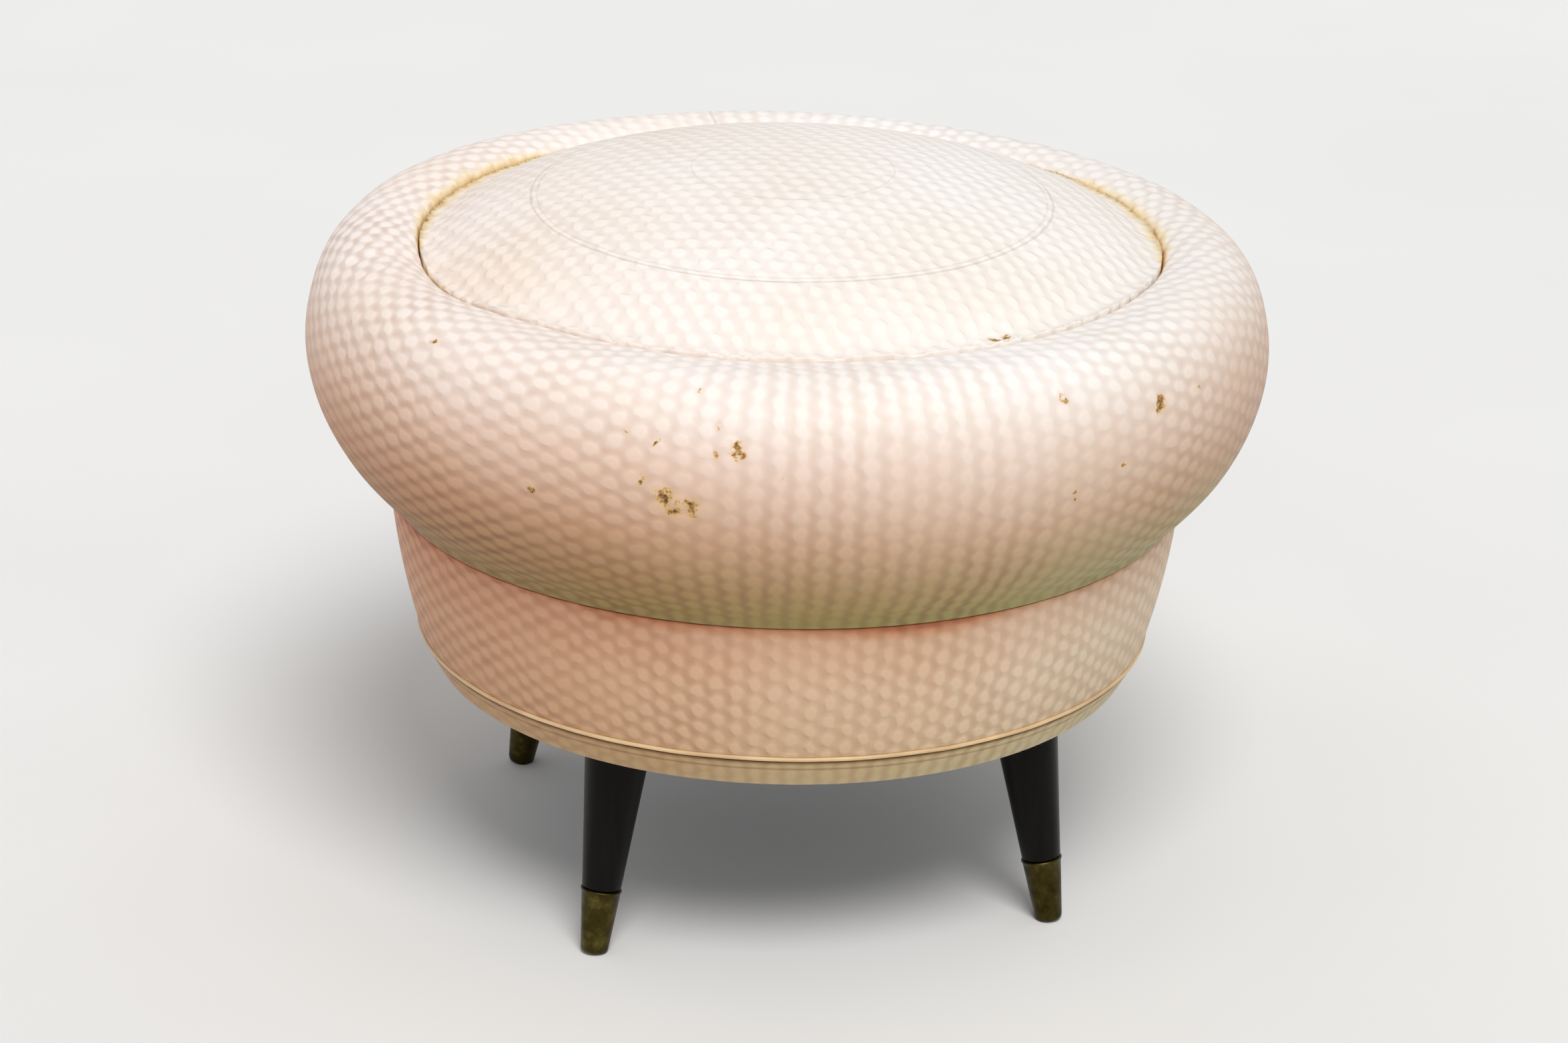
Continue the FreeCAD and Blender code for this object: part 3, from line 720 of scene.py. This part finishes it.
# The domed seat: a foam cushion with two felt discs on it, under a round vinyl panel that
# is gathered at its edge and drawn down into the crease.
crown_turns = [math.radians(15.9 * i / 20) for i in range(21)]
crown = [(496.2 * math.sin(turn), -110.2 + 495.4 * math.cos(turn)) for turn in crown_turns]
shoulder = [(146.0, 363.1), (156.0, 359.5), (166.0, 355.3), (174.0, 351.4), (181.0, 347.9),
            (186.4, 345.0), (190.2, 342.5)]
edge = [(193.4, 341.0), (194.7, 338.6), (194.0, 335.4), (193.5, 331.6), (193.5, 324.0),
        (193.2, 316.0), (191.8, 310.0), (191.2, 262.0), (190.6, 230.0), (189.0, 226.4)]
seat = turned("domed_seat", crown + shoulder + edge + [(0.0, 226.4)], around=120, closed=False)
grid = seat.modifiers.new("grid", "REMESH")
grid.mode, grid.voxel_size = "VOXEL", 4.2 * MM
even = bpy.data.meshes.new_from_object(
    seat.evaluated_get(bpy.context.evaluated_depsgraph_get()))
seat.modifiers.clear()
seat.data = even


def below_the_dome(co):
    reach, rise, _ = polar(co)
    return rise < 319 or (reach > 189 and rise < sewn_top)


plump(seat, below_the_dome, cap=1.1)
finer = bmesh.new()
finer.from_mesh(seat.data)
bmesh.ops.subdivide_edges(finer, edges=finer.edges, cuts=1, use_grid_fill=True, smooth=0.0)
for _ in range(3):
    bmesh.ops.smooth_vert(finer, verts=finer.verts, factor=0.5,
                          use_axis_x=True, use_axis_y=True, use_axis_z=True)
for face in finer.faces:
    face.smooth = True
finer.to_mesh(seat.data)
finer.free()


def on_the_dome(co):
    # How far a point of the seat's cover is from the seam in the crease, along the cover
    reach, rise, _ = polar(co)
    if rise < 314:
        return None
    if reach > 189 and rise < 330:
        return (rise - pleat_foot) * 0.9
    return 12 + max(0.0, 191.0 - reach) * 1.25


for point in seat.data.vertices:
    # Its edge is pressed against the rim's
    flat = Vector((point.co.x, point.co.y, 0.0))
    if flat.length > 191.3 * MM and 322 * MM < point.co.z < 341.5 * MM:
        point.co += flat.normalized() * (193.65 * MM - flat.length)
draw_in(seat, gathers(8, 104, 0.9, 26), on_the_dome, side=-0.7)
fill_the_crease(seat)
for point in seat.data.vertices:
    if point.co.z > 330 * MM:
        lump = noise.noise(Vector((point.co.x * 16, point.co.y * 16, 1.3)))
        point.co.z += 0.55 * MM * lump


def on_the_panel(axis, step):
    # Counts pebbles on the seat's flat-cut panel, whose rows lie turned from the front
    def counted(material, place):
        rows = add(material, "Mapping", {"Vector": place,
                                         "Rotation": (0.0, 0.0, math.radians(18.5))})
        apart = add(material, "SeparateXYZ", {0: rows})
        return add(material, "Math", {0: apart.outputs[axis], 1: per(step)},
                   operation="MULTIPLY")
    return counted


def by_reach(material, place):
    # Goes from 0 at the crease to 1 over the dome
    return add(material, "MapRange", {"Value": from_the_axis(material, place),
                                      "From Min": 192 * MM, "From Max": 120 * MM})


# The felt discs' edges press two faint rings through the cover, the large one doubled
felt_rings = [(136.2, 1.0, 1.0), (133.0, 0.8, 0.6), (53.0, 0.9, 0.55)]
seat_cloth = leathercloth(
    "embossed vinyl leathercloth, seat", on_the_panel("X", 11.2), on_the_panel("Y", 9.35),
    [(0.0, "#FCF7F0"), (0.3, "#FDF8F1"), (0.9, "#FEFBF6")], grime(0.3), by_reach, relief=0.6,
    stain=in_the_crease_stain(0.9), lines=pressed_lines(from_the_axis, felt_rings, "SMOOTHSTEP"),
    marks=[(72, -173, 347, 7), (66, -175, 347, 6)],
    ways=((0.5, 1.7, 1.5, 1.5), (-0.5, 0.9, 0.65, 0.8), (None, 0.6, 0.85, 0.7)))
seat.data.materials.append(seat_cloth)
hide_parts("seat_cover", "seat_foam", "crown_felt_large", "crown_felt_small")

# The dust cover: a disc of thin black cambric over the base board's underside and the
# hem's raw edge, with blued tacks round it. It keeps dust out, and sags a little.
rings_at = [12.0 * i for i in range(15)] + [172.0, 180.4]
lower_side, upper_side = [(r, 115.3) for r in rings_at], [(r, 115.75) for r in rings_at]
cover = turned("dust_cambric", lower_side + upper_side[::-1], around=144, closed=False)
for point in cover.data.vertices:
    reach = min(1.0, polar(point.co)[0] / 150)
    crumple = noise.noise(Vector((point.co.x * 22, point.co.y * 22, 9.0)))
    point.co.z -= (2.6 + 1.3 * crumple) * MM * (1 - reach ** 2) ** 2
# Cambric: thin plain-woven cotton, glazed black and faded, threads drawn coarse at 1 mm
cambric, shader, place = finish("black cambric")
apart = add(cambric, "SeparateXYZ", {0: place})
threads = []
for axis in ("X", "Y"):
    step = add(cambric, "Math", {0: apart.outputs[axis], 1: 2 * math.pi * per(1.0)},
               operation="MULTIPLY")
    threads.append(add(cambric, "Math", {0: step}, operation="SINE"))
weave = add(cambric, "Math", {0: threads[0], 1: threads[1]}, operation="MULTIPLY")
dusty = add(cambric, "TexNoise", {"Vector": place, "Scale": per(83.333), "Detail": 6.0})
shade = add(cambric, "Math", {0: weave, 1: 0.12, 2: dusty}, operation="MULTIPLY_ADD")
faded = add(cambric, "ValToRGB", {"Fac": shade}, stops=[(0.3, "#1B1A19"), (0.8, "#3A3733")])
raised = add(cambric, "Bump", {"Height": weave, "Distance": 0.2 * MM, "Strength": 0.6})
feed(cambric, shader, {"Base Color": faded, "Normal": raised, "Roughness": 0.85})
cover.data.materials.append(cambric)
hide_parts("dust_cover")

# Cover tacks: small domed steel heads, hammered in by hand at slightly uneven spaces
tack_count, tack_ring, tack_level, tack_half = 28, 177.4, 115.4, 2.6
heads = bmesh.new()
for i in range(tack_count):
    before = set(heads.verts)
    bmesh.ops.create_uvsphere(heads, u_segments=10, v_segments=6, radius=tack_half * MM)
    head = [v for v in heads.verts if v not in before]
    bmesh.ops.scale(heads, vec=(1, 1, 0.3), verts=head)
    turn = 2 * math.pi * (i + 0.15 * math.sin(i * 2.3)) / tack_count
    spot = (tack_ring * MM * math.cos(turn), tack_ring * MM * math.sin(turn), tack_level * MM)
    bmesh.ops.translate(heads, vec=spot, verts=head)
tacks = settle("cover_tacks", heads)
tacks.data.materials.append(steel)

# The leg plates: pressed steel with a slanted boss, each screwed on with four screws.
# Their zinc has gone dull grey, with a little rust in patches.
plate, shader, place = finish("dull zinc plate")
bloom = add(plate, "TexVoronoi", {"Vector": place, "Scale": per(6.25)})
zinc = add(plate, "ValToRGB", {"Fac": bloom.outputs["Color"]},
           stops=[(0.2, "#77756F"), (0.8, "#9C9A93")])
rust = add(plate, "TexNoise", {"Vector": place, "Scale": per(16.667), "Detail": 6.0,
                               "Roughness": 0.7})
spots = add(plate, "MapRange", {"Value": rust, "From Min": 0.6, "From Max": 0.72})
mixed = add(plate, "Mix", {0: spots, 6: zinc, 7: colour("#6B4327")}, data_type="RGBA")
bare = add(plate, "MapRange", {"Value": spots, "To Min": 1.0, "To Max": 0.1})
feed(plate, shader, {"Base Color": mixed.outputs[2], "Metallic": bare, "Roughness": 0.45})
for corner in corners:
    dress("leg_plate_" + corner, plate)

# The legs: turned beech with a straight taper, stained and lacquered near black, screwed
# into the plates so that they lean out, their shoulders against the bosses.
plate_face, foot_reach = 113.4, 114.65
lean = math.atan2(21.0, 115.8)
plate_reach = 173.0 - plate_face * math.tan(lean)
ferrule_length = 34.5
ankle = foot_reach - ferrule_length


def lathe(outline, corner):
    # Turns an outline of (radius, height) points in millimetres on a leg's own axis, and
    # moves it from there, with the leg's plate at zero, to its place under the footstool
    shape = bmesh.new()
    points = [shape.verts.new((r * MM, 0.0, z * MM)) for r, z in outline]
    edges = [shape.edges.new(pair) for pair in zip(points, points[1:])]
    spin_round(shape, points, edges, around=48)
    on_leg = (Matrix.Rotation(math.radians(corners[corner]), 4, "Z")
              @ Matrix.Translation((plate_reach * MM, 0.0, plate_face * MM))
              @ Matrix.Rotation(-lean, 4, "Y"))
    bmesh.ops.transform(shape, matrix=on_leg, verts=shape.verts)
    return shape


# Black lacquer on beech: satin, with the wood's grain showing faintly through it. Its black is
# made darker still as painted shade under the footstool
lacquer, shader, place = finish("black lacquered beech")
stretch = add(lacquer, "Mapping", {"Vector": place,
                                   "Scale": (per(3.3333), per(3.3333), per(45.4545))})
grain = add(lacquer, "TexNoise", {"Vector": stretch, "Scale": 1.0, "Detail": 5.0})
stain = add(lacquer, "ValToRGB", {"Fac": grain}, stops=[(0.35, "#090807"), (0.75, "#120F0C")])
figure = add(lacquer, "Bump", {"Height": grain, "Distance": 0.1 * MM, "Strength": 0.4})
satin = add(lacquer, "MapRange", {"Value": grain, "To Min": 0.28, "To Max": 0.42})
feed(lacquer, shader, {"Base Color": stain, "Normal": figure, "Roughness": satin,
                       "Specular IOR Level": 0.1})
leg_head = [(0, -4.5), (15.4, -4.5), (16.3, -4.7), (16.9, -5.3), (17.0, -6.2)]
leg_taper = [(16.4, -12.0), (13.6, -42.0), (10.3, -ankle + 1.5), (9.9, -ankle)]
leg_end = [(9.5, -ankle), (9.4, -ankle - 4.0), (0, -ankle - 4.0)]
for corner in corners:
    leg = settle("turned_leg_" + corner, lathe(leg_head + leg_taper + leg_end, corner))
    leg.data.materials.append(lacquer)
    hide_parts("leg_" + corner)

# The ferrules: drawn brass cups pressed on the legs' ends, with a rolled bead at the top.
# The floor has worn a small flat on the inner side of each tip.
top, tip = 20.8 / 2, 14.2 / 2
# Old brass: brown-green tarnish, rubbed brighter in small patches, and all made darker as painted
# shade under the footstool
brass, shader, place = finish("tarnished brass")
tarnish = add(brass, "TexNoise", {"Vector": place, "Scale": per(11.1111), "Detail": 6.0,
                                  "Roughness": 0.65})
worn = add(brass, "ValToRGB", {"Fac": tarnish},
           stops=[(0.3, "#241F0C"), (0.55, "#453C1B"), (0.8, "#74683A")])
dull = add(brass, "MapRange", {"Value": tarnish, "To Min": 0.55, "To Max": 0.28})
feed(brass, shader, {"Base Color": worn, "Roughness": dull, "Metallic": 1.0})
mouth = [(9.6, -ankle - 3.0), (9.6, -ankle - 0.3), (10.0, -ankle)]
bead = bend((10.05, -ankle - 0.8), 0.8, 90, -60, 6)
side = [(tip + (top - tip) * (1 - t), -ankle - ferrule_length * t)
        for t in (0.06, 0.3, 0.6, 0.9, 0.95)]
toe = [(tip + 0.02, -foot_reach + 1.3), (tip - 0.2, -foot_reach + 0.5),
       (tip - 0.7, -foot_reach + 0.08), (tip - 1.4, -foot_reach), (0, -foot_reach)]
for corner in corners:
    cup = lathe(mouth + bead + side + toe, corner)
    cut = bmesh.ops.bisect_plane(cup, geom=cup.verts[:] + cup.edges[:] + cup.faces[:],
                                 plane_co=(0, 0, 0.02 * MM), plane_no=(0, 0, -1),
                                 clear_outer=True)
    worn_edge = [e for e in cut["geom_cut"] if isinstance(e, bmesh.types.BMEdge)]
    bmesh.ops.holes_fill(cup, edges=worn_edge, sides=0)
    ferrule = settle("brass_" + corner, cup)
    ferrule.data.materials.append(brass)
    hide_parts("ferrule_" + corner)

# The floor: a plain pale sheet, far wider than the view, that keeps the footstool's
# shadow.
sheet = bmesh.new()
bmesh.ops.create_grid(sheet, x_segments=1, y_segments=1, size=9.0)
floor = settle("floor", sheet)
ground, shader, place = finish("pale floor")
paper = add(ground, "TexNoise", {"Vector": place, "Scale": per(333.333), "Detail": 2.0})
pale = add(ground, "ValToRGB", {"Fac": paper}, stops=[(0.3, "#ECEBE8"), (0.7, "#F0EFEC")])
feed(ground, shader, {"Base Color": pale, "Roughness": 0.9})
floor.data.materials.append(ground)

# Soft studio light: one broad source high in front of the footstool, and an even pale
# surround that the camera and the gloss see brighter than it lights.
sun = bpy.data.lights.new("key", "SUN")
sun.energy, sun.angle = 1.9, math.radians(26)
light = bpy.data.objects.new("key", sun)
light.rotation_euler = Vector((0.0, 1.0, -1.45)).to_track_quat("-Z", "Y").to_euler()
bpy.context.scene.collection.objects.link(light)
world = bpy.data.worlds.new("studio")
world.use_nodes = True
ray = add(world, "LightPath").outputs
either = add(world, "Math", {0: ray["Is Camera Ray"], 1: ray["Is Glossy Ray"]},
             operation="MAXIMUM")
seen = add(world, "Math", {0: either, 1: ray["Is Transmission Ray"]}, operation="MAXIMUM")
level = add(world, "MapRange", {"Value": seen, "To Min": 0.52, "To Max": 0.75})
feed(world, world.node_tree.nodes["Background"],
     {"Color": (0.96, 0.97, 1.0, 1.0), "Strength": level})
bpy.context.scene.world = world

# The camera, where the photograph was taken from: a little left of the front, looking
# down, and held a little askew.
photo_width, focal_pixels, film_width = 2357, 7306.6, 36
stand, aim, askew = Vector((-0.5160, -2.3625, 1.1371)), Vector((0.0, 0.0, 0.1858)), 0.0247
eye = bpy.data.cameras.new("camera")
eye.lens, eye.sensor_width = film_width * focal_pixels / photo_width, film_width
camera = bpy.data.objects.new("camera", eye)
camera.location = stand
camera.rotation_mode = "QUATERNION"
camera.rotation_quaternion = ((aim - stand).to_track_quat("-Z", "Y")
                              @ Quaternion((0, 0, 1), askew))
bpy.context.scene.collection.objects.link(camera)
bpy.context.scene.camera = camera
bpy.context.scene.view_settings.view_transform = "Standard"
